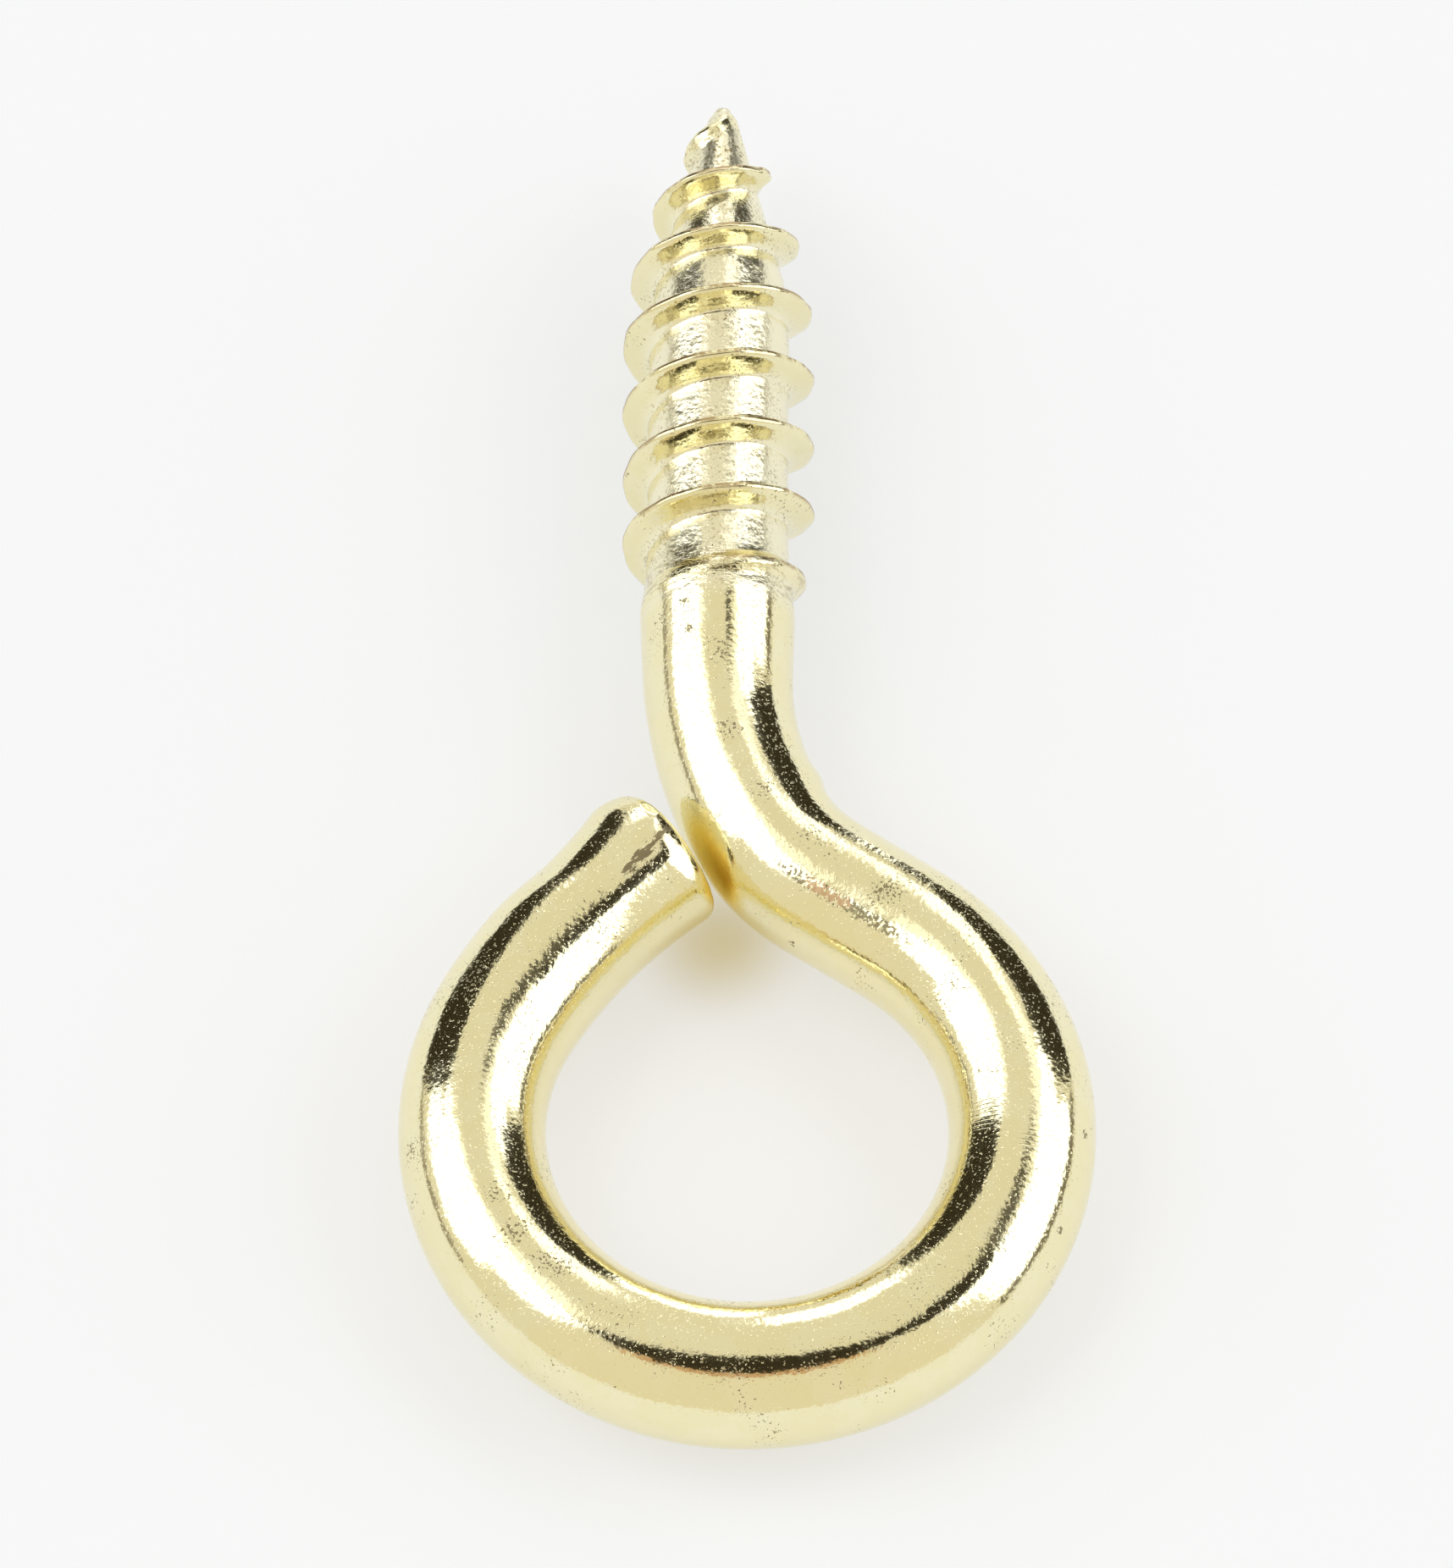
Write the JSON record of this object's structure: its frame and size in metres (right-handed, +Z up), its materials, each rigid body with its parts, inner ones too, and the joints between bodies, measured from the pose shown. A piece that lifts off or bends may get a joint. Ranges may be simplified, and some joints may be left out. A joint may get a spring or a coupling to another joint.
{
  "type": "screw eye",
  "caption": "Brass-plated steel screw eye: round wire bent to an open eye with a curved neck, plain shank, coarse right-hand wood thread and gimlet point, lying flat.",
  "frame": {"origin": "centre of the bounding box on the surface that the screw eye lies on", "axes": "+Y along the screw towards its point, +X across the eye, +Z up from the surface it lies on; the screw leans up about 1.3 degrees because the thread is thicker than the wire"},
  "size_m": [0.0162, 0.0352, 0.0045],
  "materials": {
    "brass_plate": "bright brass plate over drawn and rolled steel wire"
  },
  "bodies": {
    "root": {"screw_eye": "brass_plate"}
  },
  "joints": []
}
